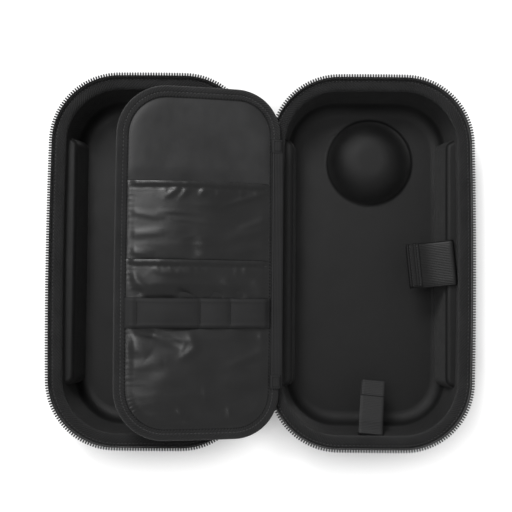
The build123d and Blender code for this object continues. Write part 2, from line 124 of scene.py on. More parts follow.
def flipped(faces, uvs=None):
    """Quads that face the other way, with their corner UVs."""
    if uvs is not None:
        uvs = [uv for k in range(len(faces)) for uv in reversed(uvs[4 * k:4 * k + 4])]
    return [tuple(reversed(face)) for face in faces], uvs


def joined(*parts):
    """Vertices, faces and UVs of several meshes as one."""
    verts, faces, uvs = [], [], []
    for part_verts, part_faces, part_uvs in parts:
        faces += [tuple(len(verts) + k for k in face) for face in part_faces]
        verts += list(part_verts)
        uvs += list(part_uvs)
    return verts, faces, uvs


BEAD_SIDES = 6
BEAD_RINGS = ((-0.92, 0.55), (-0.45, 1.0), (0.45, 1.0), (0.92, 0.55))


def bead_mesh(beads):
    """Small rounded beads, each from its centre and three half sizes as vectors: along, across and up."""
    verts, faces, sides = [], [], BEAD_SIDES
    turns = [2 * math.pi * k / sides for k in range(sides)]
    for centre, along, across, up in beads:
        first = len(verts)
        for reach, size in BEAD_RINGS:
            for turn in turns:
                verts.append(centre + along * reach + (across * math.cos(turn) + up * math.sin(turn)) * size)
        last = first + (len(BEAD_RINGS) - 1) * sides
        for ring in range(first, last, sides):
            for k in range(sides):
                a, b = ring + k, ring + (k + 1) % sides
                faces.append((a, b, b + sides, a + sides))
        faces.append(tuple(first + k for k in reversed(range(sides))))
        faces.append(tuple(last + k for k in range(sides)))
    return verts, faces


# Outlines
def bowed_arcs(width, length, side_bow, end_bow, left_radius, right_radius):
    """Arcs of a rounded rectangle with swelling sides, from its right middle round."""
    half_x, half_y = width / 2, length / 2
    corner_x, corner_y = half_x - side_bow, half_y - end_bow
    side_radius = (corner_y ** 2 + side_bow ** 2) / (2 * side_bow)
    end_radius = (corner_x ** 2 + end_bow ** 2) / (2 * end_bow)
    circles, meets = [], [0.0]
    for sx, sy in ((1, 1), (-1, 1), (-1, -1), (1, -1)):
        radius = right_radius if sx > 0 else left_radius
        side = np.array([sx * (half_x - side_radius), 0.0])
        end = np.array([0.0, sy * (half_y - end_radius)])
        apart = end - side
        gap = np.linalg.norm(apart)
        along = ((side_radius - radius) ** 2 - (end_radius - radius) ** 2 + gap ** 2) / (2 * gap)
        off = math.sqrt((side_radius - radius) ** 2 - along ** 2)
        across = np.array([-apart[1], apart[0]]) / gap
        guess = np.array([sx * (half_x - radius), sy * (half_y - radius)])
        choices = [side + apart / gap * along + across * off * s for s in (1, -1)]
        centre = min(choices, key=lambda c: np.linalg.norm(c - guess))
        before, after = ((side, side_radius), (end, end_radius))[::sx * sy]
        circles += [before, (centre, radius)]
        meets += [math.atan2(*(centre - place)[::-1]) for place, _ in (before, after)]
    circles.append(circles[0])
    arcs, last = [], 0.0
    for (centre, radius), start, stop in zip(circles, meets, [*meets[1:], 0.0]):
        turn = (stop - start) % (2 * math.pi)
        arcs.append((centre, radius, last, last + turn))
        last += turn
    return arcs


class Outline:
    """A closed outline that gives points and outward normals by their length along it."""

    def __init__(self, centre, *sizes):
        self.centre = np.array(centre, float)
        self.arcs = bowed_arcs(*sizes)
        self.starts = np.cumsum([0] + [radius * (stop - start) for _, radius, start, stop in self.arcs])
        self.length = self.starts[-1]

    def at(self, lengths):
        points, normals = [], []
        for s in np.asarray(lengths) % self.length:
            k = min(int(np.searchsorted(self.starts, s, "right")) - 1, len(self.arcs) - 1)
            centre, radius, start, _ = self.arcs[k]
            turn = start + (s - self.starts[k]) / radius
            normal = np.array([math.cos(turn), math.sin(turn)])
            points.append(self.centre + centre + radius * normal)
            normals.append(normal)
        return np.array(points), np.array(normals)

    def even(self, spacing):
        count = int(round(self.length / spacing))
        return np.arange(count) * self.length / count


rim = Outline((BASE_CENTRE, 0), SHELL_WIDTH, SHELL_LENGTH, SIDE_BOW, END_BOW, SHELL_CORNER, SHELL_CORNER)
flap = Outline(
    (-FLAP_EDGE_GAP - FLAP_WIDTH / 2, 0), FLAP_WIDTH, FLAP_LENGTH, FLAP_BOW, FLAP_BOW,
    FLAP_FREE_RADIUS, FLAP_HINGE_RADIUS,
)
FLAP_PLACE = Matrix.Translation(FLAP_AXIS) @ Matrix.Rotation(FLAP_LIFT, 4, "Y")


def placed_points(points, place):
    """Points from a piece's own frame to where it lies."""
    return np.asarray(points, float) @ np.array(place.to_3x3()).T + np.array(place.translation)


def placed_beads(beads, place):
    turn = np.array(place.to_3x3())
    return [(placed_points(centre, place), *(turn @ part for part in rest)) for centre, *rest in beads]


def on_flap(points):
    return placed_points(points, FLAP_PLACE)


def spaced(start, stop, pitch):
    """Middles of the even steps, of about a pitch each, from start to stop."""
    count = int((stop - start) / pitch)
    return start + (np.arange(count) + 0.5) * (stop - start) / count


def stations(outline, start, stop, pitch):
    """Evenly spaced points on an outline, each with the directions out of it and on along it."""
    for point, (x, y) in zip(*outline.at(spaced(start, stop, pitch))):
        yield point, np.array([x, y, 0.0]), np.array([-y, x, 0.0])


def run_along(points):
    """Distance along a line at each of its points."""
    return np.concatenate([[0], np.cumsum(np.linalg.norm(np.diff(points, axis=0), axis=1))])


def sweep(outline, lengths, profile, height, wobble):
    """Grid of points: a profile of (inset, height) pairs carried along an outline, moved up by its wobble."""
    points, normals = outline.at(lengths)
    profile = np.array(profile, float)
    grid = np.zeros((len(points), len(profile), 3))
    grid[..., :2] = points[:, None, :] - normals[:, None, :] * profile[None, :, :1]
    grid[..., 2] = height + profile[None, :, 1]
    grid[..., 2] += wobble(lengths[:, None], profile[None, :, 0])
    return grid


def sweep_uv(lengths, profile):
    """UVs of a sweep once round an outline: length along it, and distance over the profile."""
    along = np.append(lengths, lengths[0] + len(lengths) * (lengths[1] - lengths[0]))
    return np.dstack(np.meshgrid(along, run_along(profile), indexing="ij"))


def smooth_line(points, per_step):
    """A line through points with soft corners, with so many points to a step."""
    points = np.array(points, float)
    padded = np.vstack([2 * points[0] - points[1], points, 2 * points[-1] - points[-2]])
    line = []
    for k in range(1, len(padded) - 2):
        a, b, c, d = padded[k - 1:k + 3]
        for t in np.arange(per_step) / per_step:
            line.append(
                0.5 * (2 * b + (c - a) * t + (2 * a - 5 * b + 4 * c - d) * t ** 2
                       + (3 * b - a - 3 * c + d) * t ** 3)
            )
    line.append(points[-1])
    return np.array(line)


def soft_noise(x, y, scale, seed):
    """Smooth noise over two arrays, about from minus one to one."""
    flat = [
        noise.noise(Vector((a / scale, b / scale, seed * 7.3))) for a, b in zip(np.ravel(x), np.ravel(y))
    ]
    return np.array(flat).reshape(np.shape(x))


def smoothstep(low, high, value):
    t = np.clip((value - low) / (high - low), 0, 1)
    return t * t * (3 - 2 * t)


# Materials
class Nodes:
    """Short calls to build the nodes of a material or of the world."""

    def __init__(self, owner, shader="Principled BSDF"):
        owner.use_nodes = True
        self.owner, self.tree = owner, owner.node_tree
        self.shader = self.tree.nodes[shader]

    def add(self, kind, **settings):
        node = self.tree.nodes.new(kind)
        for key, value in settings.items():
            setattr(node, key, value)
        return node

    def put(self, socket, value):
        if isinstance(value, bpy.types.NodeSocket):
            self.tree.links.new(value, socket)
        else:
            socket.default_value = value

    def surface(self, name, value):
        """Puts a value or a link on an input of the shader."""
        self.put(self.shader.inputs[name], value)

    def math(self, operation, a, b=None):
        node = self.add("ShaderNodeMath", operation=operation)
        self.put(node.inputs[0], a)
        if b is not None:
            self.put(node.inputs[1], b)
        return node.outputs[0]

    def wave(self, value, pitch):
        return self.math("SINE", self.math("MULTIPLY", value, 2 * math.pi / (pitch * MM)))

    def noise(self, size, detail):
        """Noise over the object's own coordinates, its size in millimetres."""
        node = self.add("ShaderNodeTexNoise")
        self.put(node.inputs["Vector"], self.add("ShaderNodeTexCoord").outputs["Object"])
        self.put(node.inputs["Scale"], 1 / (size * MM))
        self.put(node.inputs["Detail"], detail)
        return node.outputs["Fac"]

    def spread(self, value, low, high, start=0.3, stop=0.7):
        """A value from start to stop, by default a noise's usual range, stretched from low to high."""
        node = self.add("ShaderNodeMapRange")
        self.put(node.inputs["Value"], value)
        for key, amount in (("From Min", start), ("From Max", stop), ("To Min", low), ("To Max", high)):
            self.put(node.inputs[key], amount)
        return node.outputs["Result"]

    def seen_by(self, first, *others):
        """One on rays of these kinds, else nought."""
        path = self.add("ShaderNodeLightPath")
        seen = path.outputs[f"Is {first} Ray"]
        for kind in others:
            seen = self.math("MAXIMUM", seen, path.outputs[f"Is {kind} Ray"])
        return seen

    def relief(self, height, depth, strength):
        """Bump of the surface, its depth in millimetres."""
        node = self.add("ShaderNodeBump")
        self.put(node.inputs["Height"], height)
        self.put(node.inputs["Distance"], depth * MM)
        self.put(node.inputs["Strength"], strength)
        self.surface("Normal", node.outputs[0])

    def tint(self, cloud, colour, vary):
        """A colour that strays by a share to both sides with a noise."""
        node = self.add("ShaderNodeMix", data_type="RGBA", blend_type="MIX")
        self.put(node.inputs[0], self.spread(cloud, 0.0, 1.0))
        self.put(node.inputs[6], (*(c * (1 - vary) for c in colour), 1))
        self.put(node.inputs[7], (*(c * (1 + vary) for c in colour), 1))
        return node.outputs[2]


CROSS_PITCH, CROSS_HEIGHT = 0.6, 0.35


def thread_height(kit, u, v, pattern, pitch):
    """Relief of the threads, about from minus one to one."""
    if pattern == "plain":
        return kit.math("MULTIPLY", kit.wave(u, pitch), kit.wave(v, pitch))
    if pattern == "twill":
        return kit.wave(kit.math("ADD", u, v), pitch)
    ribs, cross = {"ribs": (v, u), "grosgrain": (u, v)}[pattern]
    fine = kit.math("MULTIPLY", kit.wave(cross, pitch * CROSS_PITCH), CROSS_HEIGHT)
    return kit.math("ADD", kit.wave(ribs, pitch), fine)


# Shares of the height that are added to the other two coordinates where a piece has no UVs
SLANT_X, SLANT_Y = 0.83, 0.79
FIBRE_SIZE, DYE_SIZE, PAINT_SIZE, PAINT_VARY = 0.35, 22.0, 6.0, 0.2
# THREAD_SHADE and THREAD_CONTRAST set how far the colour is painted darker between the threads and lighter on
# them: painted shade and painted light of the weave.
THREAD_RELIEF, THREAD_SHADE, THREAD_CONTRAST = 0.5, 0.6, 0.25
CLOTH_BUMP, CLOTH_ROUGH_VARY, SHEEN_ROUGHNESS = 0.8, 0.06, 0.45
HARD_BUMP, HARD_DEPTH, HARD_ROUGH_VARY = 0.7, 0.02, 0.07


def fabric(name, colour, rough, sheen, pattern, pitch, depth, solid=False, vary=0.15, specular=0.15,
           fuzz=0.3):
    """Cloth whose threads, fuzz and uneven dye are worked out from the surface's own coordinates; its colour is
    painted darker between the threads and lighter on them, as painted shade and painted light of the weave.
    """
    kit = Nodes(bpy.data.materials.new(name))
    split = kit.add("ShaderNodeSeparateXYZ")
    kit.put(split.inputs[0], kit.add("ShaderNodeTexCoord").outputs["Object" if solid else "UV"])
    u, v = split.outputs[0], split.outputs[1]
    if solid:
        u = kit.math("ADD", u, kit.math("MULTIPLY", split.outputs[2], SLANT_X))
        v = kit.math("ADD", v, kit.math("MULTIPLY", split.outputs[2], SLANT_Y))
    threads = thread_height(kit, u, v, pattern, pitch)
    fibres = kit.math("MULTIPLY", kit.noise(FIBRE_SIZE, 3.0), 2 * fuzz)
    kit.relief(kit.math("ADD", kit.math("MULTIPLY", threads, THREAD_RELIEF), fibres), depth, CLOTH_BUMP)
    cloudy = kit.noise(DYE_SIZE, 4.0)
    # Painted shade and light: the colour follows the thread relief, darker in its valleys and lighter on its
    # tops.
    shade = kit.math("ADD", kit.math("MULTIPLY", threads, THREAD_CONTRAST), 0.5)
    dark = kit.add("ShaderNodeMix", data_type="RGBA", blend_type="MULTIPLY")
    kit.put(dark.inputs[0], THREAD_SHADE)
    kit.put(dark.inputs[6], kit.tint(cloudy, colour, vary))
    kit.put(dark.inputs[7], kit.spread(shade, 0.75, 1.15))
    kit.surface("Base Color", dark.outputs[2])
    kit.surface("Roughness", kit.spread(cloudy, rough - CLOTH_ROUGH_VARY, rough + CLOTH_ROUGH_VARY))
    kit.surface("Sheen Weight", sheen)
    kit.surface("Sheen Roughness", SHEEN_ROUGHNESS)
    kit.surface("Specular IOR Level", specular)
    return kit.owner


def hard(name, colour, rough, metallic=0.0, grain=0.4, specular=0.4):
    """Moulded plastic or painted metal with a fine uneven surface."""
    kit = Nodes(bpy.data.materials.new(name))
    fine, cloudy = kit.noise(grain, 3.0), kit.noise(PAINT_SIZE, 3.0)
    kit.relief(fine, HARD_DEPTH, HARD_BUMP)
    kit.surface("Base Color", kit.tint(cloudy, colour, PAINT_VARY))
    kit.surface("Roughness", kit.spread(fine, rough - HARD_ROUGH_VARY, rough + HARD_ROUGH_VARY))
    kit.surface("Metallic", metallic)
    kit.surface("Specular IOR Level", specular)
    return kit.owner


def black(level):
    """A black of some level, a trace bluish."""
    return (level, level, level * 1.02)


shell_cloth = fabric("shell_cloth", black(0.0043), 0.47, 0.085, "plain", 1.1, 0.12, solid=True, specular=0.27,
                     fuzz=0.6)
binding_cloth = fabric("binding_cloth", black(0.0210), 0.60, 0.10, "twill", 2.6, 0.60, vary=0.18, fuzz=0.9)
# The tape's colour is raised well above the binding's, so that its inner face, which stands in shade, shows
# bright: painted light.
tape_cloth_painted_light = fabric("tape_cloth_painted_light", black(0.045), 0.8, 0.15, "twill", 0.8, 0.06)
spine_cloth = fabric("spine_cloth", black(0.012), 0.7, 0.1, "plain", 0.9, 0.06)
nylon = fabric("nylon", black(0.0235), 0.44, 0.0, "ribs", 0.8, 0.03, specular=0.28)
pocket_nylon = fabric("pocket_nylon", black(0.0090), 0.35, 0.0, "ribs", 0.8, 0.03, specular=0.44)
elastic_cloth = fabric("elastic_cloth", black(0.0205), 0.6, 0.0, "ribs", 0.9, 0.08)
webbing_cloth = fabric("webbing_cloth", black(0.0040), 0.42, 0.0, "ribs", 1.4, 0.12, specular=0.30)
tab_cloth = fabric("tab_cloth", black(0.0185), 0.50, 0.0, "grosgrain", 1.4, 0.16, specular=0.25)
webbing_end = fabric("webbing_end", black(0.0080), 0.55, 0.0, "grosgrain", 2.4, 0.45, specular=0.2)
hinge_cloth = fabric("hinge_cloth", black(0.0195), 0.60, 0.0, "grosgrain", 1.3, 0.15)
thread = fabric("thread", black(0.048), 0.5, 0.0, "twill", 0.5, 0.04, solid=True, specular=0.3)
dark_thread = fabric("dark_thread", black(0.006), 0.6, 0.0, "twill", 0.5, 0.04, solid=True)
tooth_plastic = hard("tooth_plastic", black(0.045), 0.5, specular=0.3)
board_plastic = hard("board_plastic", black(0.020), 0.6)
dark_metal = hard("dark_metal", black(0.030), 0.38, metallic=0.6, grain=0.8)


def dress(thing, material):
    thing.data.materials.clear()
    thing.data.materials.append(material)
    return thing


for name in ("base_shell", "lid_shell"):
    dress(nodes[name], shell_cloth)
dress(nodes["flap_board"], board_plastic)
for name in ("slider_upper", "slider_lower", "pull_upper", "pull_lower"):
    dress(nodes[name], dark_metal)


# Rims and zips
BAND_PROFILE = smooth_line([
    (1.30, 0.02), (1.25, 0.55), (1.50, 1.10), (2.20, 1.48), (2.80, 1.40), (3.30, 0.95), (3.80, 1.40),
    (4.60, 1.68), (6.00, 1.66), (7.30, 1.40), (8.40, 1.05), (9.40, 0.55), (10.20, -0.15), (10.80, -1.05),
    (11.15, -2.10), (11.25, -2.90), (11.05, -3.30), (10.80, -3.10), (10.65, -2.20),
], 2)
GROOVE_INSET, GROOVE_STITCH_HEIGHT = 3.3, 1.3
RIM_PUCKER, FLAP_PUCKER, PUCKER_REACH = 0.16, 0.08, 1.3


def stitch_puckers(s, inset, groove, rise):
    """Small puckers of a sewn band at the stitches in its groove."""
    return rise * np.cos(2 * np.pi * s / STITCH_PITCH) * np.exp(-((inset - groove) / PUCKER_REACH) ** 2)


def rim_wobble(s, inset):
    """Puckers and a slow unevenness of the rim's band, which fades at its edges."""
    slow = 0.16 * np.sin(s / 17.0) * np.sin(s / 5.3 + 1.0) + 0.10 * np.sin(s / 2.9 + inset / 1.7)
    loose = slow * np.clip((inset - 1.3) / 4, 0, 1) * (inset < 10.5)
    return stitch_puckers(s, inset, GROOVE_INSET, RIM_PUCKER) + loose


def stitch_row(outline, inset, height, pitch=STITCH_PITCH, length=STITCH_LENGTH):
    """Beads of thread in a row at an inset from an outline."""
    beads, up = [], np.array([0, 0, THREAD_HALF * THREAD_SQUASH])
    for point, out, on in stations(outline, 0.0, outline.length, pitch):
        centre = np.array([*(point - out[:2] * inset), height])
        beads.append((centre, on * length / 2, out * THREAD_HALF, up))
    return beads


def zip_height(y):
    """Height of the standing tape, which runs down towards the slider on the hinge side."""
    ramp = np.clip((np.abs(y) - TAPE_START) / TAPE_RAMP, 0, 1)
    return TAPE_START_HEIGHT + (TAPE_HEIGHT - TAPE_START_HEIGHT) * ramp


half_way = rim.length / 2
zip_run = (half_way + TAPE_START, half_way + rim.length - TAPE_START)
# Inset and share of the height over the standing tape's section, and the steps of its UVs
TAPE_SECTION = ((1.15, 0.0), (1.00, 0.5), (0.90, 1.0), (0.68, 1.02), (0.45, 1.0), (0.50, 0.5), (0.60, 0.0))
TAPE_UV_STEPS = (0, 3, 3, 0.3, 0.3, 3, 3)
TAPE_STEP, TOOTH_SINK = 1.5, 0.35


def tape_mesh():
    """Standing tape along the zip's run."""
    lengths = np.arange(zip_run[0], zip_run[1] + 0.5, TAPE_STEP)
    points, normals = rim.at(lengths)
    on_hinge_side = points[:, 0] < BASE_CENTRE
    tops = np.where(on_hinge_side, zip_height(points[:, 1]), TAPE_HEIGHT)
    sides = np.array(TAPE_SECTION)
    grid = np.zeros((len(points), len(sides), 3))
    grid[..., :2] = points[:, None, :] - normals[:, None, :] * sides[None, :, :1]
    grid[..., 2] = RIM + tops[:, None] * sides[None, :, 1]
    return grid_parts(grid, np.dstack(np.meshgrid(lengths, np.cumsum(TAPE_UV_STEPS), indexing="ij")))


def teeth_mesh():
    """Teeth across the top of the standing tape."""
    beads, up = [], np.array([0, 0, COIL_HEIGHT / 2])
    for point, out, on in stations(rim, *zip_run, TOOTH_PITCH):
        top = zip_height(point[1]) if point[0] < BASE_CENTRE else TAPE_HEIGHT
        centre = np.array([*(point - out[:2] * TOOTH_INSET), RIM + top + COIL_HEIGHT / 2 - TOOTH_SINK])
        beads.append((centre, out * TOOTH_REACH, on * TOOTH_WIDTH / 2, up))
    return (*bead_mesh(beads), None)


def both_sides(stem, make, material, stem_nodes):
    """One piece on the base and its mirror image on the lid."""
    for body in ("base", "lid"):
        verts, faces, uvs = make()
        if body == "lid":
            verts = mirrored(verts)
            faces, uvs = flipped(faces, uvs)
        piece = dress(new_object(body + "_" + stem, verts, faces, uvs), material)
        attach(piece, body)
        if stem_nodes:
            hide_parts(*(body + "_" + node for node in stem_nodes))


def rim_band():
    lengths = rim.even(1.0)
    grid = sweep(rim, lengths, BAND_PROFILE, RIM, rim_wobble)
    return grid_parts(grid, sweep_uv(lengths, BAND_PROFILE), closed=True)


def rim_stitches():
    return (*bead_mesh(stitch_row(rim, GROOVE_INSET, RIM + GROOVE_STITCH_HEIGHT)), None)


both_sides("rim_band", rim_band, binding_cloth, ["binding"])
both_sides("rim_stitches", rim_stitches, thread, [])
both_sides("tape", tape_mesh, tape_cloth_painted_light, ["zip_tape"])
both_sides("teeth", teeth_mesh, tooth_plastic, ["zip_coil"])


def capped(grid, uv, end_uv=None):
    """Closed strip with both ends filled; end_uv replaces the strip's own UVs there."""
    rows, columns = grid.shape[:2]
    verts, faces, uvs = grid_parts(grid, uv)
    corners, last = range(columns - 1), (rows - 1) * columns
    faces += [tuple(corners), tuple(last + k for k in reversed(corners))]
    first_uv, last_uv = (uv[0], uv[-1]) if end_uv is None else (end_uv, end_uv)
    uvs += [tuple(first_uv[k]) for k in corners] + [tuple(last_uv[k]) for k in reversed(corners)]
    return verts, faces, uvs


# Spine
STRIP_STEP = 3.0


def closed_strip(section, y_low, y_high):
    """Closed section in X and Z carried along Y."""
    ys = np.linspace(y_low, y_high, max(2, int(abs(y_high - y_low) / STRIP_STEP)))
    ring = np.vstack([section, section[:1]])
    grid = np.zeros((len(ys), len(ring), 3))
    grid[..., 0] = ring[None, :, 0]
    grid[..., 1] = ys[:, None]
    grid[..., 2] = ring[None, :, 1]
    return capped(grid, np.dstack(np.meshgrid(ys, run_along(ring), indexing="ij")), ring)


def half_spine(side):
    """One half of the spine's cloth, bending where it meets its shell."""
    edge, seam = HALF_SPINE + 1.2, 0.0
    section = np.array([
        (seam, RIM - 0.75), (3.0, RIM - 0.8), (6.0, RIM - 0.8), (edge - 0.2, RIM - 0.25), (edge, RIM + 0.1),
        (edge - 0.3, RIM + 0.35), (6.5, RIM + 0.75), (3.5, RIM + 0.85), (1.2, RIM + 0.8), (seam, RIM + 0.45),
    ])
    verts, faces, uvs = closed_strip(section, -PANEL_END, PANEL_END)
    if side < 0:
        verts = mirrored(verts)
        faces, uvs = flipped(faces)
    body = "base" if side > 0 else "lid"
    piece = dress(new_object("spine_cloth_" + body, verts, faces, uvs), spine_cloth)
    if side > 0:
        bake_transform(piece)
        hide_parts("spine_panel")
    else:
        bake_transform(piece)


half_spine(1)
half_spine(-1)

END_SECTION = ((2.3, RIM - 0.35), (7.1, RIM - 0.3), (7.2, RIM), (7.1, RIM + 0.3), (2.3, RIM + 0.35))
END_GAP, END_TEETH, FIRST_TOOTH, TOOTH_STAGGER = 0.2, 6, 2.0, 0.25
END_TOOTH_X, END_TOOTH_SIZES = 1.25, (1.35, 0.42, 0.7)


def zip_end_piece(end, word):
    """Flat tape ends beside the closed teeth, and the teeth themselves."""
    low, high = sorted((end * (PANEL_END + END_GAP), end * (PANEL_END + ZIP_END_LENGTH)))
    part, quads, _ = closed_strip(np.array(END_SECTION), low, high)
    verts, faces, _ = joined((mirrored(part), flipped(quads)[0], []), (part, quads, []))
    tape = dress(new_object("zip_tape_end_" + word, verts, faces), tape_cloth_painted_light)
    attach(tape, "spine")
    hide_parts("zip_end_" + word)
    beads = []
    for k in range(END_TEETH):
        for side in (-1, 1):
            y = end * (PANEL_END + FIRST_TOOTH + k * TOOTH_PITCH + (0.5 + side * TOOTH_STAGGER) * TOOTH_PITCH)
            beads.append((np.array([side * END_TOOTH_X, y, RIM]), *np.diag(END_TOOTH_SIZES)))
    teeth = dress(new_object("zip_teeth_" + word, *bead_mesh(beads)), tooth_plastic)
    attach(teeth, "spine")
    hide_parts("zip_chain_" + word)


zip_end_piece(1, "upper")
zip_end_piece(-1, "lower")


# Flap
flap_lengths = flap.even(2.0)
flap_samples, flap_normals = flap.at(flap_lengths)


def inside_edge(x, y, inset):
    """Distance inside the flap's outline drawn in by inset, and the length along it of the nearest point."""
    flat = np.column_stack([np.ravel(x), np.ravel(y)])
    depth, along = np.zeros(len(flat)), np.zeros(len(flat))
    for k, point in enumerate(flat):
        away = point - flap_samples
        nearest = np.argmin((away ** 2).sum(1))
        depth[k] = -(away[nearest] @ flap_normals[nearest]) - inset
        side = np.array([-flap_normals[nearest][1], flap_normals[nearest][0]])
        along[k] = flap_lengths[nearest] + away[nearest] @ side
    return depth.reshape(np.shape(x)), along.reshape(np.shape(x))


# A hem's turned-in strip as steps out and down from its edge, and how much cloth it takes
HEM_TURN, HEM_DEPTH = ((0.45, -0.25), (0.70, -0.75), (0.60, -1.30), (0.15, -1.70)), 2.2
CLOTH_STEP, CLOTH_EDGE, CLOTH_UNDER, HEM_UV_STEP = 1.3, 3, 6.0, 0.6


def cloth_patch(name, y_low, y_high, height, material, face, hemmed):
    """Sheet on the flap between two heights along it, tucked under the binding, with its hem turned in."""
    low_x, high_x = -FLAP_EDGE_GAP - FLAP_WIDTH + CLOTH_EDGE, -FLAP_EDGE_GAP - CLOTH_EDGE
    xs = np.linspace(low_x, high_x, int((high_x - low_x) / CLOTH_STEP) + 1)
    ys = np.linspace(y_low, y_high, int((y_high - y_low) / CLOTH_STEP) + 1)
    x, y = np.meshgrid(xs, ys, indexing="ij")
    edge, along = inside_edge(x, y, FLAP_BINDING)
    z = height(x, y, edge, along)
    points = np.dstack([x, y, face * z])
    flat = np.dstack([x, y])
    keep = (edge[:-1, :-1] + edge[1:, 1:]) / 2 > -CLOTH_UNDER
    area = keep.sum() * (xs[1] - xs[0]) * (ys[1] - ys[0])
    if hemmed:
        area += keep[:, -1].sum() * (xs[1] - xs[0]) * HEM_DEPTH
        turned = np.array([points[:, -1] + np.array([0.0, out, face * drop]) for out, drop in HEM_TURN])
        points = np.concatenate([points, turned.transpose(1, 0, 2)], axis=1)
        more = np.array([flat[:, -1] + np.array([0.0, HEM_UV_STEP * (k + 1)]) for k in range(len(HEM_TURN))])
        flat = np.concatenate([flat, more.transpose(1, 0, 2)], axis=1)
        keep = np.concatenate([keep, np.repeat(keep[:, -1:], len(HEM_TURN), axis=1)], axis=1)
    verts, faces, uvs = grid_parts(points, flat, keep=np.pad(keep, ((0, 1), (0, 1))))
    used = sorted({k for quad in faces for k in quad})
    order = {k: n for n, k in enumerate(used)}
    faces = [tuple(order[k] for k in quad) for quad in faces]
    if face < 0:
        faces, uvs = flipped(faces, uvs)
    piece = dress(new_object(name, on_flap(verts[used]), faces, uvs), material)
    return piece, area * MM ** 2


def seam_gathers(edge, along, pitch, reach, rise):
    """Short gathers that run in from a sewn edge, uneven in size along it."""
    uneven = 0.55 + 0.6 * soft_noise(along, 0 * along, 14.0, 11)
    wave = np.cos(2 * np.pi * along / pitch + 2.5 * soft_noise(along, 0 * along, 9.0, 12))
    fade = smoothstep(-0.5, 1.2, edge) * np.exp(-np.maximum(edge, 0) / reach)
    return rise * uneven * wave * fade


def front_height(x, y, edge, along):
    """Front cloth, a little puffed above the upper pocket, where nothing holds it flat."""
    ripple = 0.30 * soft_noise(x, y, 30.0, 1) + 0.10 * soft_noise(x * 1.6, y, 11.0, 2)
    gathers = seam_gathers(edge, along, 4.5, 2.5, 0.18)
    puff = 1.3 * (1 - np.exp(-np.maximum(edge, 0) / 3.5)) * smoothstep(UPPER_HEM + 1, UPPER_HEM + 13, y)
    return FRONT_TOP + puff + np.clip(ripple, -0.1, 0.5) * smoothstep(0, 8, edge) + np.maximum(gathers, -0.05)


def back_height(x, y, edge, _along):
    ripple = 0.2 * soft_noise(x, y, 30.0, 5)
    return FRONT_TOP + np.clip(ripple, -0.1, 0.4) * smoothstep(0, 8, edge)


def folds(x, y, lines):
    """Soft ridges along straight lines: ends, width and height of each."""
    total = np.zeros(np.shape(x))
    for x0, y0, x1, y1, width, rise in lines:
        run = np.array([x1 - x0, y1 - y0])
        t = ((x - x0) * run[0] + (y - y0) * run[1]) / (run @ run)
        held = np.clip(t, 0, 1)
        away = (x - x0 - held * run[0]) ** 2 + (y - y0 - held * run[1]) ** 2
        total += rise * np.exp(-away / width ** 2) * (0.3 + 0.7 * np.sin(np.pi * held) ** 0.7)
    return total


# Folds of the pockets: ends (x, y, x, y), width and height of each; a minus is a hollow
UPPER_FOLDS = (
    (-13, 59, -52, 46, 2.2, 1.0), (-52, 46, -74, 47, 3.0, 0.5), (-99, 53, -88, 60, 2.6, 1.0),
    (-88, 52, -80, 60, 2.4, 0.7), (-72, 56, -62, 60, 2.6, 0.7), (-14, 36, -38, 28, 2.6, 0.8),
    (-51, 18, -14, 30, 4.5, 0.9), (-128, 40, -104, 36, 2.6, 0.6), (-128, 22, -100, 24, 3.5, 0.7),
    (-104, 41, -70, 39, 1.6, 0.35), (-96, 35, -60, 31, 1.5, 0.3), (-128, 8, -108, 4, 4.0, 1.0),
    (-80, 20, -74, 4, 6.0, -1.3), (-50, 8, -16, 12, 5.0, 0.6),
)
LOWER_FOLDS = (
    (-122, -54, -104, -60, 3.2, -1.3), (-106, -60, -84, -68, 5.0, -1.8), (-79, -58, -73, -70, 3.2, 0.6),
    (-73, -70, -86, -77, 3.2, 0.8), (-126, -66, -112, -76, 7.0, 1.0), (-90, -22, -76, -30, 4.0, -1.3),
    (-60, -24, -52, -30, 3.5, -0.9), (-40, -22, -34, -30, 3.5, -0.9), (-52, -13, -43, -23, 4.0, 0.8),
    (-26, -14, -16, -26, 4.0, 0.8), (-126, -10, -112, -26, 3.5, 0.9), (-128, -26, -116, -24, 3.0, -0.9),
    (-14, -72, -46, -84, 4.0, 0.8), (-14, -100, -50, -96, 5.0, 0.7), (-88, -118, -82, -128, 2.4, 0.9),
    (-46, -118, -44, -130, 2.0, 0.8), (-126, -84, -100, -80, 5.0, 0.7), (-110, -96, -70, -92, 7.0, 0.6),
    (-66, -100, -64, -116, 2.5, 0.5), (-104, -8, -70, -10, 3.0, 0.5), (-20, -58, -15, -66, 3.0, 0.6),
)


def hem_lift(x, y, hem, seed):
    """Folded hem proud of the pocket, uneven where its stitches pull."""
    across = hem - y
    roll = 1.2 * smoothstep(4.9, 3.9, across) + 0.5 * np.exp(-((across - 1.2) / 1.2) ** 2)
    groove = -1.1 * np.exp(-((across - 4.4) / 0.8) ** 2)
    pull = 0.45 * soft_noise(x, y, 3.0, seed) * np.exp(-((across - 3.5) / 2.5) ** 2)
    tucks = 1.1 * np.maximum(soft_noise(x, y / 3, 5.0, seed + 1), 0) * np.exp(-((across - 8.0) / 3.5) ** 2)
    return roll + groove + pull + tucks


# Bulge of the pockets: where its steady climb ends and where its crest is, as shares of the width, and its height
UPPER_SLACK, LOWER_SLACK = (0.12, 0.46, 6.6), (0.15, 0.34, 5.4)
FOLD_GAIN = 1.5


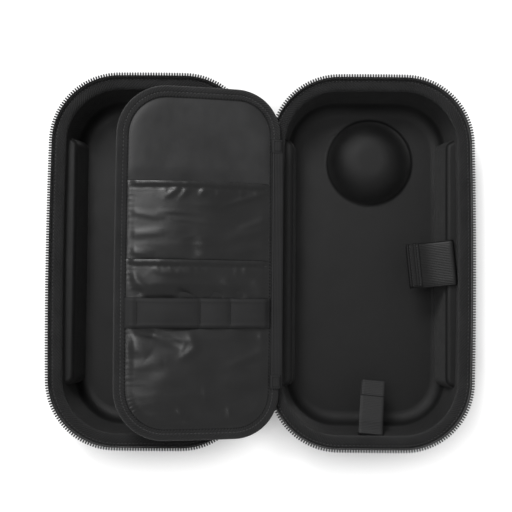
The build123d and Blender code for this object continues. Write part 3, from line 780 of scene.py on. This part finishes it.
def slack(x, steady, crest, most):
    """Bulge of a pocket: it climbs steadily from the free side, rounds off to a crest and sinks to the hinge."""
    across = (x + FLAP_EDGE_GAP + FLAP_WIDTH - FLAP_BINDING) / (FLAP_WIDTH - 2 * FLAP_BINDING)
    across = np.clip(across, 0, 1)
    easing = np.clip((across - steady) / (crest - steady), 0, 1)
    eased = (crest - steady) * (easing + np.sin(np.pi * easing) / np.pi) / 2
    climb = (np.minimum(across, steady) + eased) / (steady + (crest - steady) / 2)
    sink = smoothstep(1.0, crest, across)
    return most * climb * sink


def pocket_level(sewn, least, body, edge):
    """A pocket's height: it rises from its sewn edge to its body, which is never under the least."""
    return FRONT_TOP + sewn + np.maximum(body, least) * smoothstep(-1, 7, edge)


def upper_height(x, y, edge, along):
    """Upper pocket's cloth, which lies flat under the lower pocket."""
    swell = np.interp(y, [UPPER_BOTTOM, 0.0, 14.0, UPPER_HEM], [0.05, 0.6, 0.95, 1.0])
    waves = 0.35 * soft_noise(x, y * 1.5, 18.0, 3) + 0.10 * soft_noise(x * 0.5, y * 2.0, 6.0, 13)
    loose = smoothstep(UPPER_BOTTOM + 30, UPPER_BOTTOM + 44, y)
    detail = (waves + FOLD_GAIN * folds(x, y, UPPER_FOLDS)) * loose + hem_lift(x, y, UPPER_HEM, 21)
    gathers = seam_gathers(edge, along, 4.2, 3.0, 0.5)
    bulge = swell * slack(x, *UPPER_SLACK)
    return pocket_level(0.3, 0.3, 0.5 + bulge + detail, edge) + gathers * loose


def lower_height(x, y, edge, along):
    """Lower pocket's cloth, which the elastic band holds down across its middle."""
    band_low = BAND_TOP - BAND_WIDTH
    swell = np.interp(
        y, [LOWER_BOTTOM, LOWER_BOTTOM + 10, LOWER_BOTTOM + 26, -86.0, band_low - 9, band_low, BAND_TOP,
            -18.0, LOWER_HEM],
        [0.10, 0.55, 0.90, 1.0, 0.70, 0.12, 0.12, 0.90, 1.05],
    )
    waves = 0.45 * soft_noise(x, y * 1.4, 20.0, 4) + 0.12 * soft_noise(x * 0.6, y * 1.6, 7.0, 6)
    loose = 1 - np.exp(-((y - (BAND_TOP - BAND_WIDTH / 2)) / 13) ** 6)
    detail = (waves + FOLD_GAIN * folds(x, y, LOWER_FOLDS)) * loose + hem_lift(x, y, LOWER_HEM, 31)
    corner = 1 + 0.9 * smoothstep(-90, -125, y) * smoothstep(-70, -115, x)
    gathers = seam_gathers(edge, along, 4.2, 3.2, 0.55) * corner
    bulge = swell * slack(x, *LOWER_SLACK)
    return pocket_level(0.5, 0.6, 0.9 + bulge + detail, edge) + gathers * loose


BOARD_END = 140.0
for name, low, high, height, material, node, face in (
    ("flap_front_cloth", -BOARD_END, BOARD_END, front_height, nylon, "flap_front", 1),
    ("flap_back_cloth", -BOARD_END, BOARD_END, back_height, nylon, "flap_back", -1),
    ("pocket_upper_cloth", UPPER_BOTTOM, UPPER_HEM, upper_height, pocket_nylon, "pocket_upper", 1),
    ("pocket_lower_cloth", LOWER_BOTTOM - 7, LOWER_HEM, lower_height, pocket_nylon, "pocket_lower", 1),
):
    hemmed = name.startswith("pocket")
    piece, area = cloth_patch(name, low, high, height, material, face, hemmed)
    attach(piece, "flap")
    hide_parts(node)

FLAP_BAND = smooth_line([
    (10.0, 1.42), (9.9, 1.85), (9.4, 2.12), (8.6, 2.20), (7.6, 2.25), (6.6, 2.15), (6.0, 1.85), (5.7, 1.70),
    (5.4, 1.85), (4.8, 2.30), (4.0, 2.50), (1.8, 2.30), (0.5, 1.6), (0.05, 0.5), (0.05, -0.5), (0.5, -1.6),
    (1.8, -2.25), (4.0, -2.42), (6.5, -2.38), (7.8, -2.1), (8.2, -1.92), (8.6, -2.05), (9.4, -2.12),
    (9.9, -1.85), (10.0, -1.42),
], 2)
FLAP_GROOVE, FLAP_INNER_ROW = 5.7, 9.1


def flap_wobble(s, inset):
    """Puckers and a slow unevenness of the flap's band."""
    slow = 0.08 * np.sin(s / 13.0) * np.sin(s / 4.7) * (inset < 9)
    return stitch_puckers(s, inset, FLAP_GROOVE, FLAP_PUCKER) + slow


lengths = flap.even(1.0)
grid = sweep(flap, lengths, FLAP_BAND, 0.0, flap_wobble)
verts, faces, uvs = grid_parts(on_flap(grid), sweep_uv(lengths, FLAP_BAND), closed=True)
flap_band = dress(new_object("flap_band", verts, faces, uvs), binding_cloth)
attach(flap_band, "flap")
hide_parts("flap_binding")


def stitches_on_flap(name, beads, material):
    """Stitches on the flap as one piece that rides it."""
    piece = dress(new_object(name, *bead_mesh(placed_beads(beads, FLAP_PLACE))), material)
    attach(piece, "flap")


flap_beads = stitch_row(flap, FLAP_GROOVE, 1.95) + stitch_row(flap, FLAP_GROOVE, -2.3)
stitches_on_flap("flap_stitches", flap_beads, thread)
inner_beads = stitch_row(flap, FLAP_INNER_ROW, 2.25, pitch=2.6, length=1.3)
stitches_on_flap("flap_inner_stitches", inner_beads, dark_thread)

FINE_HALF, THREAD_FLATNESS = 0.22, 0.73


def straight_stitches(start, stop, pitch, length, half=FINE_HALF):
    """Beads of thread along a straight line that is level in its piece's own frame."""
    start, stop, up = (np.array(v, float) for v in (start, stop, (0, 0, 1)))
    run = stop - start
    count = max(1, int(np.linalg.norm(run) / pitch))
    along = run / np.linalg.norm(run)
    sizes = (along * length / 2, np.cross(up, along) * half, up * half * THREAD_FLATNESS)
    return [(start + run * (k + 0.5) / count, *sizes) for k in range(count)]


# Elastic band
BAND_LEVEL = FRONT_TOP + 1.4 + 0.6
BAND_TUCK, LOOP_STEP, LOOP_SLOPE, LOOP_RISE = 1.5, 1.5, 0.09, 4.2


def elastic_grid():
    """Band that rises in a loop between each two rows of tacks, with rolled edges, and its UVs."""
    first = FLAP_EDGE_GAP + FLAP_BINDING - BAND_TUCK
    last = FLAP_EDGE_GAP + FLAP_WIDTH - FLAP_BINDING + BAND_TUCK
    stops = [first, *BAND_STITCHES, last]
    xs, zs = [], []
    for start, stop in zip(stops, stops[1:]):
        t = np.linspace(0, 1, max(6, int((stop - start) / LOOP_STEP)), endpoint=False)
        rise = min(LOOP_RISE, LOOP_SLOPE * (stop - start))
        xs += list(-(start + (stop - start) * t))
        zs += list(rise * np.sin(np.pi * t) ** 0.6)
    xs.append(-last)
    zs.append(0.0)
    xs, zs = np.array(xs), np.array(zs)
    across = np.linspace(0, 1, 33)
    rolled = sum(
        depth * (np.exp(-((across - at) / 0.05) ** 2) + np.exp(-((1 - at - across) / 0.05) ** 2))
        for at, depth in ((0.0, 0.7), (0.10, -0.35))
    )
    x, t = np.meshgrid(xs, across, indexing="ij")
    edge = smoothstep(0, 6, np.minimum(-x - first, last + x))
    z = BAND_LEVEL + BAND_THICKNESS + zs[:, None] * (1 - 0.15 * (2 * t - 1) ** 2) - rolled[None, :]
    z = FRONT_TOP + 0.8 + (z - FRONT_TOP - 0.8) * (0.25 + 0.75 * edge)
    narrow = 0.5 * np.sin(np.pi * np.clip(zs / LOOP_RISE, 0, 1) / 2)[:, None]
    y = BAND_TOP - narrow - (BAND_WIDTH - 2 * narrow) * t
    return np.dstack([x, y, z]), np.dstack([x, y])


grid, uv = elastic_grid()
verts, faces, uvs = grid_parts(on_flap(grid), uv)
elastic = dress(new_object("elastic_loop_band", verts, faces, uvs), elastic_cloth)
thick = elastic.modifiers.new("thickness", "SOLIDIFY")
thick.thickness = BAND_THICKNESS * MM
thick.offset = -1.0
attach(elastic, "flap")
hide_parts("elastic_band")

# Zigzag tacks across the band: a single bead each, leaning to either side in turn
TACKS, TACK_MARGIN, TACK_LEVEL = 11, 1.5, BAND_LEVEL + 1.05
TACK_REACH, TACK_LEAN, TACK_LENGTH, TACK_HALF = 1.2, 0.9, 3.2, 0.4
tacks = []
for stitch in BAND_STITCHES:
    for k in range(TACKS):
        y = BAND_TOP - TACK_MARGIN - (BAND_WIDTH - 2 * TACK_MARGIN) * (k + 0.5) / TACKS
        lean = TACK_LEAN if k % 2 else -TACK_LEAN
        ends = [(-stitch + s * TACK_REACH, y + s * lean, TACK_LEVEL) for s in (-1, 1)]
        tacks += straight_stitches(*ends, BAND_WIDTH, TACK_LENGTH, half=TACK_HALF)
stitches_on_flap("band_tacks", tacks, dark_thread)

HEM_ROW, HEM_MARGIN, HEM_PITCH, HEM_PROUD, HEM_BEAD = 4.2, 12, 2.8, 0.1, (1.0, 0.22, 0.16)
for hem, height, name in ((UPPER_HEM, upper_height, "upper"), (LOWER_HEM, lower_height, "lower")):
    xs = np.arange(-FLAP_EDGE_GAP - FLAP_WIDTH + HEM_MARGIN, -FLAP_EDGE_GAP - HEM_MARGIN, HEM_PITCH)
    ys = np.full(len(xs), hem - HEM_ROW)
    zs = height(xs, ys, *inside_edge(xs, ys, FLAP_BINDING)) + HEM_PROUD
    beads = [(np.array(centre), *np.diag(HEM_BEAD)) for centre in zip(xs, ys, zs)]
    stitches_on_flap("hem_stitches_" + name, beads, thread)


# Hinge tape
def hinge_section():
    """Centre line of the hinge tape: foot on the rim, upright, then over the flap's edge."""
    foot = [(12.0, RIM + 1.95), (14.5, RIM + 1.95), (17.4, RIM + 2.0), (18.4, RIM + 2.9)]
    upright = [(18.5, RIM + 4.6), (18.45, RIM + 6.4)]
    over = [(-0.6, 1.4), (-0.9, 2.5), (-2.0, 3.15), (-4.0, 3.25), (-7.0, 3.2), (-10.2, 3.05)]
    placed = on_flap([(x, 0, z) for x, z in over])[:, [0, 2]]
    return smooth_line([*foot, *upright, *placed], 3)


def ribbon_grid(line, half_width, thickness, count):
    """Flat tape carried along a line in X and Z, wide in Y, thinner at its edges."""
    tangents = np.gradient(line, axis=0)
    tangents /= np.linalg.norm(tangents, axis=1)[:, None]
    normals = np.column_stack([tangents[:, 1], -tangents[:, 0]])
    half = thickness / 2
    across = np.linspace(-1, 1, count)
    top = [(t * half_width, half * (1 if abs(t) < 0.999 else 0.4)) for t in across]
    ring = top + [(w, -h) for w, h in reversed(top)] + [top[0]]
    grid = np.zeros((len(line), len(ring), 3))
    for k, (w, h) in enumerate(ring):
        grid[:, k, 0] = line[:, 0] + normals[:, 0] * h
        grid[:, k, 1] = w
        grid[:, k, 2] = line[:, 1] + normals[:, 1] * h
    widths = np.array([w for w, _ in ring])
    return grid, np.dstack(np.meshgrid(run_along(line), widths, indexing="ij"))


grid, uv = ribbon_grid(hinge_section(), HINGE_TAPE_LENGTH / 2, HINGE_TAPE_THICKNESS, count=60)
grid[..., 1] -= FLAP_LOW
hinge = dress(new_object("hinge_tape", *capped(grid, uv)), hinge_cloth)
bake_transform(hinge)
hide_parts("flap_hinge_tape", "hinge_strip")
HINGE_ROW_X, HINGE_ROW_LEVEL = -8.6, 3.66
row_ends = [(HINGE_ROW_X, s * (HINGE_TAPE_LENGTH / 2 - 2), HINGE_ROW_LEVEL) for s in (-1, 1)]
stitches_on_flap("hinge_stitches", straight_stitches(*row_ends, 2.6, 1.6), dark_thread)

# Patches over the hinge tape's two ends, each with a box of stitches
HINGE_END, BOX_MARGIN, BOX_LEVEL, BOX_DROP = 11.0, 1.6, 4.5, 0.15
BOX_NEAR, BOX_FAR, BOX_PITCH, BOX_STITCH = -3.2, -9.2, 1.9, 1.4
for end, word in ((1, "upper"), (-1, "lower")):
    outer = end * (HINGE_TAPE_LENGTH / 2 + 0.3)
    inner = outer - end * HINGE_END
    low_y, high_y = sorted((outer, inner))
    line = smooth_line([(-1.9, 3.45), (-4.0, 4.0), (-7.0, 3.95), (-10.4, 3.7), (-10.9, 3.2)], 2)
    grid, uv = ribbon_grid(line, HINGE_END / 2, HINGE_TAPE_THICKNESS, count=9)
    grid[..., 1] += (low_y + high_y) / 2
    verts, faces, uvs = capped(grid, uv)
    patch = dress(new_object("hinge_end_" + word, on_flap(verts), faces, uvs), hinge_cloth)
    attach(patch, "flap")
    low_y, high_y, far_level = low_y + BOX_MARGIN, high_y - BOX_MARGIN, BOX_LEVEL - BOX_DROP
    box = []
    for start, stop in (
        ((BOX_NEAR, low_y, BOX_LEVEL), (BOX_NEAR, high_y, BOX_LEVEL)),
        ((BOX_FAR, low_y, far_level), (BOX_FAR, high_y, far_level)),
        ((BOX_NEAR, low_y, BOX_LEVEL), (BOX_FAR, low_y, BOX_LEVEL)),
        ((BOX_NEAR, high_y, BOX_LEVEL), (BOX_FAR, high_y, BOX_LEVEL)),
    ):
        box += straight_stitches(start, stop, BOX_PITCH, BOX_STITCH)
    stitches_on_flap("hinge_end_stitches_" + word, box, dark_thread)


# Tool strap and tab
ROOT_DROP, WEBBING_THICKNESS, FOLD_THICKNESS = 5, 1.6, 1.3
PAD_ROWS, PAD_PITCH, PAD_STITCH, PAD_MARGIN = (1.6, 1.8), 2.2, 1.6, 1.5


def wall_inset(drop):
    """How far inside the rim's outline the inner wall is at some depth under the rim."""
    return FLANGE_WIDTH + drop * math.tan(WALL_DRAFT)


def webbing_piece(name, width, slope_line, place, pad_length, body, covers, cloth, end_cloth, proud):
    """Webbing from its sewn root along its line, with the end turned back on itself and proud of it."""
    grid, uv = ribbon_grid(slope_line, width / 2, WEBBING_THICKNESS, count=15)
    tip = slope_line[-1]
    direction = slope_line[-1] - slope_line[-4]
    direction /= np.linalg.norm(direction)
    over = np.array([direction[1], -direction[0]])
    start = tip - direction * pad_length
    fold = smooth_line([
        tip + over * 0.1, tip + direction * 0.5 + over * 0.75, tip + over * 1.5,
        tip - direction * 3.0 + over * proud, start + direction * 1.5 + over * proud,
        start + over * (proud - 0.3),
    ], 4)
    turned_back = capped(*ribbon_grid(fold, width / 2 - 0.2, FOLD_THICKNESS, count=15))
    verts, faces, uvs = joined(capped(grid, uv), turned_back)
    piece = dress(new_object(name, placed_points(verts, place), faces, uvs), cloth)
    piece.data.materials.append(end_cloth)
    for polygon in piece.data.polygons[-len(turned_back[1]):]:
        polygon.material_index = 1
    rows = []
    for back in (PAD_ROWS[0], pad_length - PAD_ROWS[1]):
        x, z = tip - direction * back + over * (proud + 0.7)
        ends = [(x, s * (width / 2 - PAD_MARGIN), z) for s in (-1, 1)]
        rows += straight_stitches(*ends, PAD_PITCH, PAD_STITCH)
    beads = placed_beads(rows, place)
    stitches = dress(new_object(name + "_stitches", *bead_mesh(beads)), thread)
    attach(stitches, body)
    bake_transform(piece)
    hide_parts(*covers)


# The roots stand off the wall so far that a skewed tape's corner clears it
SKEW, STRAP_HALF, TAB_HALF, STRAP_Y, TAB_SHIFT = math.radians(6), 19, 10, 1.0, 1.2
TAB_TURN = math.radians(-95)
strap_x = BASE_CENTRE + SHELL_WIDTH / 2 - wall_inset(ROOT_DROP) - WEBBING_THICKNESS - STRAP_HALF * math.sin(SKEW)
strap_place = Matrix.Translation((strap_x, STRAP_Y, RIM - ROOT_DROP)) @ Matrix.Rotation(SKEW, 4, "Z")
strap_line = smooth_line([
    (1.2, -9.5), (1.15, -5.0), (0.9, -1.6), (-1.6, -0.7), (-7.0, -1.9), (-12.0, -3.1), (-17.0, -3.9),
    (-22.0, -4.1), (-27.0, -3.8), (-32.0, -3.6), (-38.0, -3.6),
], 4)
webbing_piece("tool_strap_webbing", 38.0, strap_line, strap_place, 9.5, "tool_strap",
              ["tool_strap", "tool_strap_end", "tool_strap_anchor"], webbing_cloth, webbing_end, proud=3.4)

tab_y = -SHELL_LENGTH / 2 + wall_inset(ROOT_DROP) + WEBBING_THICKNESS + TAB_HALF * math.sin(SKEW)
tab_place = Matrix.Translation((BASE_CENTRE + TAB_SHIFT, tab_y, RIM - ROOT_DROP))
tab_place = tab_place @ Matrix.Rotation(TAB_TURN, 4, "Z")
tab_line = smooth_line([
    (2.3, -9.5), (2.2, -5.0), (1.8, -1.6), (-0.2, -0.8), (-5.0, -3.4), (-10.0, -6.6), (-17.0, -8.8),
    (-26.0, -11.1), (-34.0, -13.4), (-41.5, -15.2),
], 4)
webbing_piece("tab_webbing", 20.5, tab_line, tab_place, 12.0, "tab", ["tab_strap", "tab_end", "tab_anchor"],
              tab_cloth, tab_cloth, proud=1.3)


# Floor, light and camera
FLOOR_HALF, FLOOR_LEVEL = 3000.0, -0.3
# Floor glow, and the power and reach in metres of the ambient occlusion that dims it into a painted shadow beside
# the object
FLOOR_GLOW, FLOOR_SHADOW_POWER, FLOOR_SHADOW_REACH = 0.65, 3.0, 0.05
WORLD_LIGHT, WORLD_SEEN = 0.50, 1.0


def floor_material():
    """Pale floor whose glow shows it white to the camera; ambient occlusion dims the glow close to the object,
    which paints a shadow there and lets the lamps' shadow show.
    """
    kit = Nodes(bpy.data.materials.new("floor"))
    kit.surface("Base Color", (0.8, 0.8, 0.8, 1))
    kit.surface("Roughness", 0.9)
    kit.surface("Specular IOR Level", 0.0)
    kit.surface("Emission Color", (1, 1, 1, 1))
    # Painted shadow: the glow is dimmed by ambient occlusion within a few centimetres of the object.
    near = kit.add("ShaderNodeAmbientOcclusion", samples=8)
    near.inputs["Distance"].default_value = FLOOR_SHADOW_REACH
    lift = kit.math("MULTIPLY", kit.math("POWER", near.outputs["AO"], FLOOR_SHADOW_POWER), FLOOR_GLOW)
    seen = kit.seen_by("Camera", "Glossy", "Transmission")
    kit.surface("Emission Strength", kit.math("MULTIPLY", seen, lift))
    return kit.owner


corners = [(sx * FLOOR_HALF, sy * FLOOR_HALF, FLOOR_LEVEL) for sx, sy in ((-1, -1), (1, -1), (1, 1), (-1, 1))]
floor = new_object("floor", corners, [(0, 1, 2, 3)], smooth=False)
floor.data.materials.append(floor_material())
floor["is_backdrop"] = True

world = bpy.data.worlds.new("studio")
bpy.context.scene.world = world
kit = Nodes(world, "Background")
strength = kit.spread(kit.seen_by("Camera", "Transmission"), WORLD_LIGHT, WORLD_SEEN, 0.0, 1.0)
kit.surface("Strength", strength)
kit.surface("Color", (1, 1, 1, 1))


def area_light(name, power, size, place, target):
    """Soft lamp at a place, turned to a target, in metres."""
    data = bpy.data.lights.new(name, "AREA")
    data.energy = power
    data.size = size
    lamp = bpy.data.objects.new(name, data)
    lamp.location = place
    lamp.rotation_euler = (Vector(target) - Vector(place)).to_track_quat("-Z", "Y").to_euler()
    bpy.context.scene.collection.objects.link(lamp)


area_light("back", 15.0, 0.50, (-0.42, 0.95, 1.34), (0, 0, 0.03))
area_light("top", 5.4, 0.60, (-0.36, 0.20, 1.60), (0, 0, 0.03))

CAMERA_PLACE = (-0.0006, -0.0269, 0.850)
CAMERA_TURN = (2.253, 0.219, 0.49)
CAMERA_LENS = 67.07
lens = bpy.data.cameras.new("camera")
lens.lens = CAMERA_LENS
lens.sensor_width = 36.0
camera = bpy.data.objects.new("camera", lens)
camera.location = CAMERA_PLACE
camera.rotation_euler = [math.radians(angle) for angle in CAMERA_TURN]
bpy.context.scene.collection.objects.link(camera)
bpy.context.scene.camera = camera
bpy.context.scene.view_settings.view_transform = "Standard"

low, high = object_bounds()
